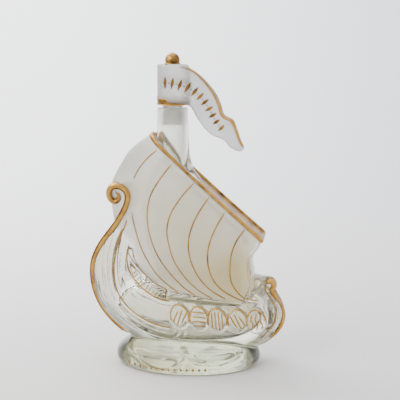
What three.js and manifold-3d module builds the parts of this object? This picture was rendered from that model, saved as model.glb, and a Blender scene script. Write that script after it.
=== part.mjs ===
// Ship decanter: a mould-blown glass bottle shaped as a ship under one billowing sail,
// standing on an oval glass sea, closed by a stopper shaped as a streaming pennant.
// Millimetres, +Z up, origin on the table under the middle of the bounding box.
// +X runs from bow to stern, -Y is the side with the pennant's face.
import * as THREE from 'three';
import { mergeVertices } from 'three/addons/utils/BufferGeometryUtils.js';
import Module from 'manifold-3d';

// ---- driving dimensions ----
const GAP = 0.3;                 // clearance between touching pieces
const WALL = 3.6;                // glass wall
const NECK_X = -13.6;            // neck and stopper axis
const NECK_R = 14.0;             // outside of the neck
const BORE_R = 9.3;              // neck bore, a standard cork size
const RIM_Z = 238.8;             // top of the neck
const LIP_H = 10.5;              // height of the neck's thicker finish
const FOOT_X = 0.3, FOOT_A = 67.6, FOOT_B = 46.4, FOOT_H = 27.0;
const FOOT_RECESS = 2.0;         // shallow recess under the foot
const BEAM = 35.5;               // half beam of the hull at the shields
const YARD_HALF = 17.5;          // half width of the sail's upper face
const HEAD_R = 13.8;             // mast head of the stopper
const HEAD_TOP = 277.2, HEAD_BOTTOM = 241.9;
const SLEEVE_R = 8.95, PEG_R = 6.6;
const KNOB_TOP = 288.0, KNOB_R = 6.8;
const PENNANT_T = 5.0;           // thickness of the pennant's glass

// bow and stern ends of the hull, with its half beam and place of greatest beam, level by level:
// [z, bow x, stern x, half beam, x of greatest beam]
const HULL = [
  [13.0, -40.0, 56.0, 20.0, 4],
  [18.0, -48.0, 67.0, 24.0, 4],
  [23.5, -54.0, 78.0, 27.0, 4],
  [30.0, -62.5, 82.5, 29.8, 4],
  [38.0, -72.0, 87.0, 32.8, 4],
  [47.0, -80.0, 90.6, 35.0, 4],
  [56.0, -85.5, 90.6, BEAM, 4],
  [63.0, -88.2, 87.5, 33.8, 4],
  [67.0, -89.4, 84.0, 30.0, 2],
  [72.0, -90.6, 81.0, 22.0, 0],
  [79.0, -91.6, 78.0, 18.5, -4],
  [84.5, -91.9, 66.0, 16.0, -20],
  [94.0, -90.8, 20.0, 12.5, -40],
  [104.0, -85.8, -20.0, 9.0, -50],
  [114.0, -79.0, -45.0, 6.5, -60],
  [121.0, -73.0, -55.0, 4.0, -64],
];
// sail sections from the yard down: [luff x, luff z, leech x, leech z, half thickness, length of the luff's taper, its fullness]
const SAIL = [
  [-33.5, 213.6, 68.6, 120.0, YARD_HALF, 0.26, 0.55],
  [-44.5, 206.0, 66.0, 114.5, 19.0, 0.36, 0.7],
  [-56.0, 195.5, 62.8, 108.5, 20.5, 0.50, 0.95],
  [-65.5, 180.0, 60.4, 103.0, 21.5, 0.62, 1.2],
  [-71.5, 163.0, 60.2, 97.0, 22.0, 0.68, 1.3],
  [-70.6, 143.0, 61.0, 90.0, 22.0, 0.66, 1.25],
  [-67.0, 122.0, 61.0, 82.0, 21.0, 0.58, 1.0],
  [-60.0, 98.0, 60.5, 72.0, 19.5, 0.46, 0.8],
  [-50.0, 74.0, 58.0, 60.0, 18.0, 0.38, 0.7],
  [-38.0, 52.0, 52.0, 47.0, 16.0, 0.32, 0.6],
];
// prow scroll: centre line from the eye outwards and down the stem
const PROW = [
  [-63.6, 157.6], [-63.2, 154.2], [-66.0, 151.5], [-70.0, 152.2], [-72.6, 156.6], [-72.2, 161.8],
  [-69.4, 165.4], [-64.8, 166.4], [-59.4, 164.8], [-55.8, 161.2], [-54.6, 156.2], [-55.8, 149.8],
  [-58.6, 143.2], [-62.4, 136.2], [-67.2, 129.2], [-73.0, 121.6], [-79.2, 113.4], [-84.6, 104.0],
  [-88.4, 94.0], [-89.6, 83.0], [-88.6, 72.0], [-85.4, 60.6], [-80.0, 49.6], [-72.6, 40.0],
  [-63.6, 31.4], [-55.0, 25.0],
];
// stern scroll: centre line from the bulb down the sternpost
const STERN = [
  [76.1, 76.4], [80.8, 66.0], [84.4, 61.4], [87.4, 56.0], [89.4, 50.0], [89.6, 44.6],
  [87.2, 37.6], [83.0, 31.6], [77.4, 26.0], [71.4, 21.6], [64.0, 18.4],
];

const wasm = await Module();
wasm.setup();
const { Manifold, Mesh } = wasm;

function toManifold(geometry) {
  const g = geometry.clone();
  for (const name of Object.keys(g.attributes)) if (name !== 'position') g.deleteAttribute(name);
  const m = mergeVertices(g, 1e-4);
  return new Manifold(new Mesh({
    numProp: 3,
    vertProperties: new Float32Array(m.attributes.position.array),
    triVerts: new Uint32Array(m.index.array),
  }));
}
function toGeometry(manifold) {
  const m = manifold.getMesh();
  const g = new THREE.BufferGeometry();
  g.setAttribute('position', new THREE.BufferAttribute(new Float32Array(m.vertProperties), 3));
  g.setIndex(new THREE.BufferAttribute(new Uint32Array(m.triVerts), 1));
  g.computeVertexNormals();
  return g;
}

// a closed skin through rings of points with the same count, closed by a centre point at each end:
// a sphere's vertices and faces, moved to the rings
function loft(rings) {
  const n = rings[0].length, m = rings.length;
  const sphere = new THREE.SphereGeometry(1, n, m + 1);
  sphere.deleteAttribute('normal');
  sphere.deleteAttribute('uv');
  const p = sphere.attributes.position;
  const mean = (r) => r.reduce((a, q) => a.add(q), new THREE.Vector3()).multiplyScalar(1 / r.length);
  for (let row = 0; row <= m + 1; row++) {
    for (let k = 0; k <= n; k++) {
      const q = row === 0 ? mean(rings[0]) : row === m + 1 ? mean(rings[m - 1]) : rings[row - 1][k % n];
      p.setXYZ(row * (n + 1) + k, q.x, q.y, q.z);
    }
  }
  return sphere;
}
// an inside-out skin has a negative volume; its faces are then turned
function solid(geometry) {
  const p = geometry.attributes.position, ix = geometry.index ? geometry.index.array : null;
  const count = ix ? ix.length : p.count;
  const a = new THREE.Vector3(), b = new THREE.Vector3(), c = new THREE.Vector3();
  let volume = 0;
  for (let i = 0; i < count; i += 3) {
    a.fromBufferAttribute(p, ix ? ix[i] : i);
    b.fromBufferAttribute(p, ix ? ix[i + 1] : i + 1);
    c.fromBufferAttribute(p, ix ? ix[i + 2] : i + 2);
    volume += a.dot(b.cross(c));
  }
  if (volume < 0 && ix) for (let i = 0; i < ix.length; i += 3) [ix[i], ix[i + 1]] = [ix[i + 1], ix[i]];
  return toManifold(geometry);
}

// plan section of the hull at one level, bow and stern blunt by the stem's thickness
function hullRing([z, bow, stern, beam, xm], inset) {
  const ring = [], half = 12, tip = Math.max(3.0 - inset * 0.4, 1.2);
  const x0 = bow + inset * 2.2, x1 = stern - inset * 2.2, b = Math.max(beam - inset, 1.6);
  const xs = [];
  for (let i = 0; i <= half; i++) xs.push(x0 + (x1 - x0) * (1 - Math.cos((Math.PI * i) / half)) / 2);
  const y = (x) => {
    const t = x < xm ? (xm - x) / (xm - x0) : (x - xm) / (x1 - xm);
    const full = b * Math.pow(Math.max(1 - Math.pow(Math.abs(t), 2.1), 0), 0.8);
    const end = tip * Math.pow(Math.max(1 - Math.pow(Math.abs(t), 24), 0), 0.5);
    return Math.max(full, end);
  };
  for (let i = 0; i <= half; i++) ring.push(new THREE.Vector3(xs[i], i === 0 || i === half ? 0 : -y(xs[i]), z));
  for (let i = half - 1; i > 0; i--) ring.push(new THREE.Vector3(xs[i], y(xs[i]), z));
  return ring;
}
function hull(inset, zmin, zmax) {
  const rows = HULL.filter((r) => r[0] > zmin && r[0] < zmax);
  return solid(loft(rows.map((r) => hullRing(r, inset))));
}

// section of the sail in its own slanted plane, round at the luff and squarer at the leech
function sailRing([xl, zl, xr, zr, half, taper, full], inset) {
  const ring = [], n = 12;
  const dx = xr - xl, dz = zr - zl, len = Math.hypot(dx, dz);
  const ux = dx / len, uz = dz / len;
  const lead = inset * (1 + 2.4 * Math.min(full, 1)), L = len - lead - inset, b = half - inset;
  const pt = (s, y) => new THREE.Vector3(xl + ux * (lead + s), y, zl + uz * (lead + s));
  const y = (t) => {
    const nose = Math.pow(Math.max(1 - Math.pow(1 - Math.min(t / taper, 1), 2), 0), full);
    const tail = Math.pow(Math.max(1 - Math.pow(Math.max((t - 0.86) / 0.14, 0), 4), 0), 0.5);
    return b * nose * tail;
  };
  for (let i = 0; i <= n; i++) {
    const t = (1 - Math.cos((Math.PI * i) / n)) / 2;
    ring.push(pt(t * L, i === 0 || i === n ? 0 : -y(t)));
  }
  for (let i = n - 1; i > 0; i--) {
    const t = (1 - Math.cos((Math.PI * i) / n)) / 2;
    ring.push(pt(t * L, y(t)));
  }
  return ring;
}
function sail(inset, first, last) {
  return solid(loft(SAIL.slice(first, last).map((r) => sailRing(r, inset))));
}

// oval foot with a rounded shoulder and a flat ring to stand on
function foot() {
  const rows = [[0, 0.925], [1.4, 0.965], [5.0, 0.995], [9.5, 1.0], [14.6, 0.97], [19.4, 0.89], [23.2, 0.76], [FOOT_H, 0.54]];
  const rings = rows.map(([z, k]) => {
    const ring = [];
    for (let i = 0; i < 32; i++) {
      const a = (2 * Math.PI * i) / 32;
      ring.push(new THREE.Vector3(FOOT_X + FOOT_A * k * Math.cos(a), FOOT_B * k * Math.sin(a), z));
    }
    return ring;
  });
  return solid(loft(rings));
}

const lathe = (points, segments = 24) =>
  solid(new THREE.LatheGeometry(points.map(([r, z]) => new THREE.Vector2(r, z)), segments)
    .rotateX(Math.PI / 2)).translate([NECK_X, 0, 0]);
const cylinder = (r0, r1, z0, z1, segments = 24) => {
  const g = new THREE.CylinderGeometry(r1, r0, z1 - z0, segments);
  g.rotateX(Math.PI / 2).translate(NECK_X, 0, (z0 + z1) / 2);
  return toManifold(g);
};
// a bar with an elliptical section, swept along a curve that lies in the XZ plane
function bar(points, steps, inPlane, across, sides = 10) {
  const curve = new THREE.CatmullRomCurve3(points.map(([x, z]) => new THREE.Vector3(x, 0, z)), false, 'centripetal');
  const rings = [];
  for (let i = 0; i <= steps; i++) {
    const t = i / steps, c = curve.getPointAt(t), d = curve.getTangentAt(t);
    const nx = -d.z, nz = d.x;
    const h = typeof inPlane === 'function' ? inPlane(t) : inPlane;
    const w = typeof across === 'function' ? across(t) : across;
    const ring = [];
    for (let k = 0; k < sides; k++) {
      const a = (2 * Math.PI * (k + 0.5)) / sides;
      ring.push(new THREE.Vector3(c.x + nx * h * Math.cos(a), w * Math.sin(a), c.z + nz * h * Math.cos(a)));
    }
    rings.push(ring);
  }
  return solid(loft(rings));
}
// an outline in the XZ plane extruded along Y
function slab(points, y0, y1) {
  const g = new THREE.ExtrudeGeometry(new THREE.Shape(points.map(([x, z]) => new THREE.Vector2(x, z))),
    { depth: y1 - y0, bevelEnabled: false });
  g.rotateX(Math.PI / 2).translate(0, y1, 0);
  return toManifold(g);
}

// ---- gilding of the prow and of the stern: swept bars around the glass edge ----
const prowH = (t) => 2.0 + 0.8 * Math.exp(-Math.pow((t - 0.22) / 0.14, 2)) - 0.4 * Math.max(t - 0.7, 0);
const prow = (grow) => bar(PROW, 48, (t) => prowH(t) + grow, (t) => 7.6 - 3.9 * Math.min(t / 0.55, 1) + grow, 8);
const stern = (grow) => {
  const band = bar(STERN, 20, 1.8 + grow, 3.9 + grow, 8);
  const bulb = toManifold(new THREE.SphereGeometry(4.6 + grow, 12, 8).scale(1, 1.15, 1).translate(76.1, 0, 76.4));
  return band.add(bulb);
};
const prowGilding = prow(0);
const sternGilding = stern(0);

// ---- gilded rim of the sail's upper face: round by the luff, square at the leech ----
function yardLoop(grow) {
  const [xl, zl, xr, zr] = SAIL[0];
  const len = Math.hypot(xr - xl, zr - zl), s = YARD_HALF;
  const e1 = new THREE.Vector3(xr - xl, 0, zr - zl).normalize(), e2 = new THREE.Vector3(0, 1, 0);
  const e3 = new THREE.Vector3().crossVectors(e1, e2);
  const placed = new THREE.Matrix4().makeBasis(e1, e2, e3).setPosition(xl, 0, zl);
  const plate = (o, t) => {
    const h = s + o, pts = [];
    pts.push(new THREE.Vector2(len + o, -h), new THREE.Vector2(len + o, h));
    for (let i = 0; i <= 14; i++) {
      const a = Math.PI / 2 + (Math.PI * i) / 14;
      pts.push(new THREE.Vector2(s + h * Math.cos(a), h * Math.sin(a)));
    }
    const g = new THREE.ExtrudeGeometry(new THREE.Shape(pts), { depth: t, bevelEnabled: false });
    g.translate(0, 0, -t / 2).applyMatrix4(placed);
    return toManifold(g);
  };
  return plate(1.5 + grow, 3.2 + 2 * grow).subtract(plate(-1.7 - grow, 20));
}
const yardGilding = yardLoop(0);

// ---- the bottle ----
const neckOuter = lathe([[0, 150], [21, 150], [19.5, 186], [17.2, 197], [15.2, 206], [NECK_R - 0.2, 216], [NECK_R - 0.4, RIM_Z - LIP_H - 1.2],
  [NECK_R, RIM_Z - LIP_H], [NECK_R, RIM_Z - 1.6], [NECK_R - 1.5, RIM_Z], [0, RIM_Z]]);
const neckBore = lathe([[0, 120], [BORE_R, 120], [BORE_R, RIM_Z - 1.0], [BORE_R + 0.9, RIM_Z + 0.1], [BORE_R + 0.9, RIM_Z + 6], [0, RIM_Z + 6]]);
// the neck's wide root stays within the sail's thickness below the yard
const rootTrim = slab([[-80, 100], [90, 100], [90, 300], [-80, 300]], -YARD_HALF + 1.9, YARD_HALF - 1.9);

let glass = foot().add(hull(0, 0, 130)).add(sail(0, 0, 10)).add(neckOuter.intersect(rootTrim));
// shields standing proud of both sides of the hull
const SHIELDS = [[-2.6, 53.0], [14.8, 51.6], [31.4, 50.2], [49.0, 48.8], [65.6, 46.8]];
for (const [x, z] of SHIELDS) {
  for (const side of [-1, 1]) {
    const t = x < 4 ? (4 - x) / 86 : (x - 4) / 87;
    const y = (BEAM - 1.4) * Math.pow(1 - Math.pow(t, 2.1), 0.8);
    const slope = (x < 4 ? 1 : -1) * Math.atan(t * 0.74);
    const disc = new THREE.SphereGeometry(1, 12, 6).scale(9.0, 3.0, 12.2).rotateZ(side * slope).translate(x, side * y, z);
    glass = glass.add(toManifold(disc));
  }
}
// hollow: hull, sail and neck bore run into each other
const hollow = hull(WALL, 23, 80).add(sail(WALL, 1, 9)).add(neckBore);
const clearances = prow(GAP).add(stern(GAP)).add(yardLoop(GAP));
const under = (() => {
  const g = new THREE.CylinderGeometry(1, 1.06, FOOT_RECESS + 1, 24).rotateX(Math.PI / 2);
  g.scale(FOOT_A * 0.66, FOOT_B * 0.62, 1).translate(FOOT_X, 0, (FOOT_RECESS - 1) / 2);
  return toManifold(g);
})();
glass = glass.subtract(hollow).subtract(clearances).subtract(under);
// slivers of glass outside the gilded edges are dropped
glass = glass.decompose().sort((a, b) => b.volume() - a.volume())[0];

// ---- stopper ----
// soft sleeve on the peg, with two sealing ribs and a lead-in
const sleeve = lathe([
  [PEG_R + GAP, 224.0], [SLEEVE_R - 1.3, 224.0], [SLEEVE_R - 0.5, 228.4], [SLEEVE_R - 0.5, 230.2],
  [SLEEVE_R, 230.8], [SLEEVE_R, 232.0], [SLEEVE_R - 0.5, 232.6], [SLEEVE_R - 0.5, 234.2], [SLEEVE_R, 234.8],
  [SLEEVE_R, 240.6], [PEG_R + GAP, 240.6], [PEG_R + GAP, 224.0],
]);
// pennant: side outline crossed with a sheet that wraps the mast head and streams aft in a slack S
const PENNANT_SIDE = [
  [-30, 277.2], [-6.8, 276.9], [2.5, 274.0], [11.8, 267.4], [20.1, 259.2], [26.4, 251.0], [30.5, 241.8],
  [33.6, 233.6], [42.0, 228.6], [45.2, 221.4], [48.3, 212.0], [52.4, 203.2], [50.2, 200.4], [46.2, 200.2],
  [39.0, 203.6], [33.7, 209.8], [22.3, 214.2], [16.0, 219.4], [8.4, 229.6], [3.6, 238.6], [-1.4, 244.0], [-30, 248.0],
];
const PENNANT_PLAN = [[-0.6, -11.8], [7.0, -9.6], [12.0, -4.6], [17.0, -0.4], [24.0, 1.6], [33.0, 0.6], [43.0, -2.4], [53.0, -4.2], [62.0, -3.4], [70.0, -1.0]];
function pennantSheet() {
  const curve = new THREE.CatmullRomCurve3(PENNANT_PLAN.map(([x, y]) => new THREE.Vector3(x + NECK_X, y, 0)), false, 'centripetal');
  const n = 24, left = [], right = [];
  for (let i = 0; i <= n; i++) {
    const p = curve.getPointAt(i / n), d = curve.getTangentAt(i / n), h = PENNANT_T / 2 * (1 - 0.25 * i / n);
    left.push(new THREE.Vector2(p.x - d.y * h, p.y + d.x * h));
    right.push(new THREE.Vector2(p.x + d.y * h, p.y - d.x * h));
  }
  const g = new THREE.ExtrudeGeometry(new THREE.Shape([...left, ...right.reverse()]), { depth: 100, bevelEnabled: false });
  g.translate(0, 0, 190);
  return toManifold(g);
}
const side = slab(PENNANT_SIDE, -40, 32);
const collarCut = slab([[-40, 248.1], [16, 241.0], [16, 230], [-40, 230]], -30, 30);
const collarClear = slab([[-40, 248.1 + GAP], [16, 241.0 + GAP], [16, 230], [-40, 230]], -30, 30);
const headBarrel = cylinder(HEAD_R, HEAD_R, HEAD_BOTTOM, HEAD_TOP, 32);
const sheet = pennantSheet().intersect(side);
let head = headBarrel.subtract(collarClear).add(sheet);
// sheet keeps clear of the collar and of the neck's lip
head = head.subtract(cylinder(NECK_R + 1.0, NECK_R + 1.0, 200, HEAD_BOTTOM - 0.2, 32));
head = head.subtract(collarClear.intersect(cylinder(HEAD_R + GAP, HEAD_R + GAP, HEAD_BOTTOM - 1, 260, 32)));
head = head.add(cylinder(PEG_R - 0.5, PEG_R, 226.0, 260, 32));
// gilded upper edge of the pennant
const EDGE_IN = [
  [-4.6, 275.2], [2.0, 272.4], [10.6, 265.8], [17.6, 258.4], [23.2, 250.0], [26.6, 240.6], [29.4, 231.6],
  [39.2, 225.8], [42.6, 219.6], [46.4, 210.2], [51.4, 202.4],
];
const EDGE_OUT = [[58, 202], [56, 214], [48, 236], [40, 240], [34, 258], [24, 272], [10, 286], [-4.6, 286]];
const edgeBand = slab([...EDGE_IN, ...EDGE_OUT], -40, 32);
const edgeClear = slab([[-4.6 - GAP, 275.2 - GAP], ...EDGE_IN.slice(1).map(([x, z]) => [x - 0.22, z - 0.22]), ...EDGE_OUT.slice(0, 7), [-4.6 - GAP, 286]], -40, 32);
const barrelKeep = cylinder(HEAD_R + GAP, HEAD_R + GAP, 230, 290, 32);
const pennantEdge = sheet.intersect(edgeBand).subtract(barrelKeep);
const pennantGlass = head.subtract(edgeClear.subtract(cylinder(HEAD_R, HEAD_R, 230, 290, 32)));
const collar = cylinder(HEAD_R, HEAD_R, HEAD_BOTTOM, HEAD_BOTTOM + 8, 32).intersect(collarCut)
  .subtract(cylinder(PEG_R + GAP, PEG_R + GAP, HEAD_BOTTOM - 1, 260, 32));
const knob = lathe([
  [0, HEAD_TOP + GAP], [KNOB_R, HEAD_TOP + GAP], [KNOB_R, 278.4], [KNOB_R - 0.7, 279.0], [6.2, 280.4], [6.0, 282.6], [5.3, 284.8],
  [4.0, 286.6], [2.2, 287.7], [0, KNOB_TOP],
], 20);

// ---- scene graph ----
const paint = (color, roughness, metalness, opacity = 1) =>
  new THREE.MeshStandardMaterial({ color, roughness, metalness, opacity, transparent: opacity < 1 });
const clearGlass = paint(0xdfe6e0, 0.08, 0.0, 0.4);
const frosted = paint(0xcfccc4, 0.55, 0.0);
const gilt = paint(0xb98a3c, 0.3, 1.0);
const plastic = paint(0xd9d9d2, 0.5, 0.0);

const bottle = new THREE.Group();
const stopper = new THREE.Group();
const addTo = (group, name, manifold, material) => {
  const mesh = new THREE.Mesh(toGeometry(manifold), material);
  mesh.name = name;
  group.add(mesh);
};
addTo(bottle, 'bottle_glass', glass, clearGlass);
addTo(bottle, 'prow_scroll_gilding', prowGilding, gilt);
addTo(bottle, 'stern_scroll_gilding', sternGilding, gilt);
addTo(bottle, 'yard_rim_gilding', yardGilding, gilt);
addTo(stopper, 'stopper_sleeve', sleeve, plastic);
addTo(stopper, 'pennant_head', pennantGlass, frosted);
addTo(stopper, 'pennant_edge_gilding', pennantEdge, gilt);
addTo(stopper, 'collar_gilding', collar, gilt);
addTo(stopper, 'finial_knob', knob, gilt);

const decanter = new THREE.Group();
decanter.add(bottle, stopper);
export default decanter;
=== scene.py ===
# Ship decanter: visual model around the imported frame. Metres in Blender; the modelling maths is in millimetres.
import math
import bpy
import numpy as np
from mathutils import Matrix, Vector


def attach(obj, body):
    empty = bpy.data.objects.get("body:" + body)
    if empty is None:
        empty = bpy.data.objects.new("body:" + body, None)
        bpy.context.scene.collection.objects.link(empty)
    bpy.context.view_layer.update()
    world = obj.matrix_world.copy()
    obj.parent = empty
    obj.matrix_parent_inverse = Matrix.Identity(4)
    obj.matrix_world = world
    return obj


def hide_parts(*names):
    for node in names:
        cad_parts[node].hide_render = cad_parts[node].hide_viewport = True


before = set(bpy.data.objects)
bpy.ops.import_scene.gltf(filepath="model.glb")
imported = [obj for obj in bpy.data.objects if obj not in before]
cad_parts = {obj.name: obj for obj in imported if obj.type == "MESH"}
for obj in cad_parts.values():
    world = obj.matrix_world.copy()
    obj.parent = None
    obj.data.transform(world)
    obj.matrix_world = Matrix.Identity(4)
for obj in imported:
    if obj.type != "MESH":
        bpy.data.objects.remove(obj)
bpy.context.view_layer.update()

MM = 0.001
NECK_X = -13.6

# ---------------------------------------------------------------- camera, floor, light
scene = bpy.context.scene
cam_data = bpy.data.cameras.new("camera")
cam_data.lens = 100.0
cam_data.sensor_width = 36.0
cam_data.clip_end = 20.0
cam = bpy.data.objects.new("camera", cam_data)
scene.collection.objects.link(cam)
cam.location = (0.1330, -0.9909, 0.3480)
cam.rotation_euler = Vector((-0.11963, 0.97431, -0.19081)).to_track_quat('-Z', 'Y').to_euler()
scene.camera = cam


def nodes_of(mat):
    mat.use_nodes = True
    nt = mat.node_tree
    bsdf = next(n for n in nt.nodes if n.type == 'BSDF_PRINCIPLED')
    return nt, nt.nodes, nt.links, bsdf


def add_node(nt, kind, **values):
    n = nt.nodes.new(kind)
    for k, v in values.items():
        setattr(n, k, v)
    return n


# pale floor that turns up into a soft backdrop far behind
def stage_mesh():
    rows = []
    prof = [(-3.6, 0.0), (0.9, 0.0)]
    for i in range(1, 13):
        a = math.pi / 2 * i / 12
        prof.append((0.9 + 0.7 * math.sin(a), 0.7 - 0.7 * math.cos(a)))
    prof.append((1.6, 2.6))
    xs = np.linspace(-3.6, 3.6, 13)
    verts = [(float(x), y, z) for (y, z) in prof for x in xs]
    n = len(xs)
    faces = [(r * n + c, r * n + c + 1, (r + 1) * n + c + 1, (r + 1) * n + c) for r in range(len(prof) - 1) for c in range(n - 1)]
    me = bpy.data.meshes.new("floor")
    me.from_pydata(verts, [], faces)
    me.polygons.foreach_set("use_smooth", [True] * len(me.polygons))
    ob = bpy.data.objects.new("floor", me)
    scene.collection.objects.link(ob)
    return ob


floor = stage_mesh()
fmat = bpy.data.materials.new("floor_paper")
nt, N, L, bsdf = nodes_of(fmat)
bsdf.inputs["Base Color"].default_value = (0.74, 0.735, 0.73, 1)
bsdf.inputs["Roughness"].default_value = 0.62
bsdf.inputs["Specular IOR Level"].default_value = 0.25
# painted light on the floor: darker and warmer towards the front, lighter up the backdrop, and painted shade darkening
# it towards the right
ftc = add_node(nt, "ShaderNodeTexCoord")
fsep = add_node(nt, "ShaderNodeSeparateXYZ")
L.new(ftc.outputs["Object"], fsep.inputs["Vector"])
floor_depth_shade_range = add_node(nt, "ShaderNodeMapRange")
floor_depth_shade_range.inputs["From Min"].default_value = -0.25
floor_depth_shade_range.inputs["From Max"].default_value = 1.5
L.new(fsep.outputs["Y"], floor_depth_shade_range.inputs["Value"])
floor_depth_shade_ramp = add_node(nt, "ShaderNodeValToRGB")
els = floor_depth_shade_ramp.color_ramp.elements
for e in range(2):
    els.new(0.5)
for e, (p, c) in zip(els, [(0.0, (0.735, 0.705, 0.665, 1)), (0.18, (0.78, 0.758, 0.732, 1)), (0.5, (0.83, 0.828, 0.83, 1)), (1.0, (0.915, 0.92, 0.935, 1))]):
    e.position = p
    e.color = c
L.new(floor_depth_shade_range.outputs["Result"], floor_depth_shade_ramp.inputs["Fac"])
floor_side_shade_range = add_node(nt, "ShaderNodeMapRange")
floor_side_shade_range.inputs["From Min"].default_value = -0.45
floor_side_shade_range.inputs["From Max"].default_value = 0.35
L.new(fsep.outputs["X"], floor_side_shade_range.inputs["Value"])
floor_side_shade_ramp = add_node(nt, "ShaderNodeValToRGB")
floor_side_shade_ramp.color_ramp.elements[0].color = (1.0, 1.0, 1.0, 1)
floor_side_shade_ramp.color_ramp.elements[1].color = (0.83, 0.83, 0.845, 1)
L.new(floor_side_shade_range.outputs["Result"], floor_side_shade_ramp.inputs["Fac"])
floor_shade_mix = add_node(nt, "ShaderNodeMix", data_type='RGBA', blend_type='MULTIPLY')
floor_shade_mix.inputs[0].default_value = 1.0
L.new(floor_depth_shade_ramp.outputs["Color"], floor_shade_mix.inputs[6])
L.new(floor_side_shade_ramp.outputs["Color"], floor_shade_mix.inputs[7])
L.new(floor_shade_mix.outputs[2], bsdf.inputs["Base Color"])
floor.data.materials.append(fmat)

world = bpy.data.worlds.new("world")
scene.world = world
world.use_nodes = True
bg = next(n for n in world.node_tree.nodes if n.type == 'BACKGROUND')
bg.inputs["Color"].default_value = (0.93, 0.95, 1.0, 1)
bg.inputs["Strength"].default_value = 1.12


def area(name, loc, target, size, power, color=(1, 1, 1), size_y=None):
    d = bpy.data.lights.new(name, 'AREA')
    d.energy = power
    d.color = color
    d.shape = 'RECTANGLE'
    d.size = size
    d.size_y = size_y or size
    o = bpy.data.objects.new(name, d)
    scene.collection.objects.link(o)
    o.location = loc
    o.rotation_euler = (Vector(target) - Vector(loc)).to_track_quat('-Z', 'Y').to_euler()
    return o


area("key_softbox", (-1.05, -0.75, 1.25), (0.0, 0.0, 0.12), 0.9, 15.0, (1.0, 0.985, 0.96))
area("fill_right", (1.35, -0.5, 0.75), (0.0, 0.0, 0.14), 0.8, 5.0, (0.96, 0.98, 1.0))
area("back_wash", (-0.75, 0.55, 1.25), (-0.6, 1.45, 0.3), 1.0, 42.0, (0.98, 0.99, 1.0))
area("glint_strip", (-0.62, -0.95, 0.95), (0.0, 0.0, 0.16), 0.16, 5.5, (1.0, 0.99, 0.97), 0.7)
area("top_soft", (0.1, 0.25, 1.6), (0.0, 0.0, 0.1), 1.2, 9.0, (1.0, 1.0, 1.0))


# ---------------------------------------------------------------- small maths
def catmull(points, n):
    """n points, evenly spaced along a centripetal Catmull-Rom curve through the given ones."""
    P = np.asarray(points, float)
    if len(P) == 2:
        t = np.linspace(0, 1, n)[:, None]
        return P[0] * (1 - t) + P[1] * t
    A = np.vstack([2 * P[0] - P[1], P, 2 * P[-1] - P[-2]])
    out = []
    for i in range(len(P) - 1):
        p0, p1, p2, p3 = A[i:i + 4]
        t0 = 0.0
        t1 = t0 + max(np.linalg.norm(p1 - p0), 1e-6) ** 0.5
        t2 = t1 + max(np.linalg.norm(p2 - p1), 1e-6) ** 0.5
        t3 = t2 + max(np.linalg.norm(p3 - p2), 1e-6) ** 0.5
        t = np.linspace(t1, t2, 24, endpoint=False)[:, None]
        a1 = (t1 - t) / (t1 - t0) * p0 + (t - t0) / (t1 - t0) * p1
        a2 = (t2 - t) / (t2 - t1) * p1 + (t - t1) / (t2 - t1) * p2
        a3 = (t3 - t) / (t3 - t2) * p2 + (t - t2) / (t3 - t2) * p3
        b1 = (t2 - t) / (t2 - t0) * a1 + (t - t0) / (t2 - t0) * a2
        b2 = (t3 - t) / (t3 - t1) * a2 + (t - t1) / (t3 - t1) * a3
        out.append((t2 - t) / (t2 - t1) * b1 + (t - t1) / (t2 - t1) * b2)
    C = np.vstack(out + [P[-1:]])
    s = np.r_[0, np.cumsum(np.linalg.norm(np.diff(C, axis=0), axis=1))]
    u = np.linspace(0, s[-1], n)
    return np.stack([np.interp(u, s, C[:, k]) for k in range(C.shape[1])], 1)


def seg_dist(P, line, extra=None):
    """distance of points P (N, k) to a polyline, and the value of extra (one per line point) at the nearest place."""
    best = np.full(len(P), 1e9)
    val = np.zeros(len(P))
    for i in range(len(line) - 1):
        a, b = line[i], line[i + 1]
        ab = b - a
        t = np.clip(((P - a) @ ab) / max(ab @ ab, 1e-12), 0, 1)
        d = np.linalg.norm(P - a - t[:, None] * ab, axis=1)
        m = d < best
        best[m] = d[m]
        if extra is not None:
            val[m] = (extra[i] + t * (extra[i + 1] - extra[i]))[m]
    return (best, val) if extra is not None else best


def inside(P, poly):
    c = np.zeros(len(P), bool)
    x, z = P[:, 0], P[:, 1]
    j = len(poly) - 1
    for i in range(len(poly)):
        xi, zi = poly[i]
        xj, zj = poly[j]
        hit = (zi > z) != (zj > z)
        with np.errstate(divide='ignore', invalid='ignore'):
            cross = x < (xj - xi) * (z - zi) / (zj - zi) + xi
        c ^= hit & cross
        j = i
    return c


def sdf2(P, poly):
    d = seg_dist(P, np.vstack([poly, poly[:1]]))
    return np.where(inside(P, poly), -d, d)


def smin(a, b, k):
    h = np.clip(0.5 + 0.5 * (b - a) / k, 0, 1)
    return b + (a - b) * h - k * h * (1 - h)


def smax(a, b, k):
    return -smin(-a, -b, k)


def smooth(a, b, x):
    t = np.clip((x - a) / (b - a), 0, 1)
    return t * t * (3 - 2 * t)


def blur(A, sigma):
    r = int(3 * sigma) + 1
    k = np.exp(-0.5 * (np.arange(-r, r + 1) / sigma) ** 2)
    k /= k.sum()
    for ax in range(A.ndim):
        pad = [(0, 0)] * A.ndim
        pad[ax] = (r, r)
        B = np.pad(A, pad, mode='edge')
        out = np.zeros_like(A)
        for i, w in enumerate(k):
            sl = [slice(None)] * A.ndim
            sl[ax] = slice(i, i + A.shape[ax])
            out += w * B[tuple(sl)]
        A = out
    return A


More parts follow.
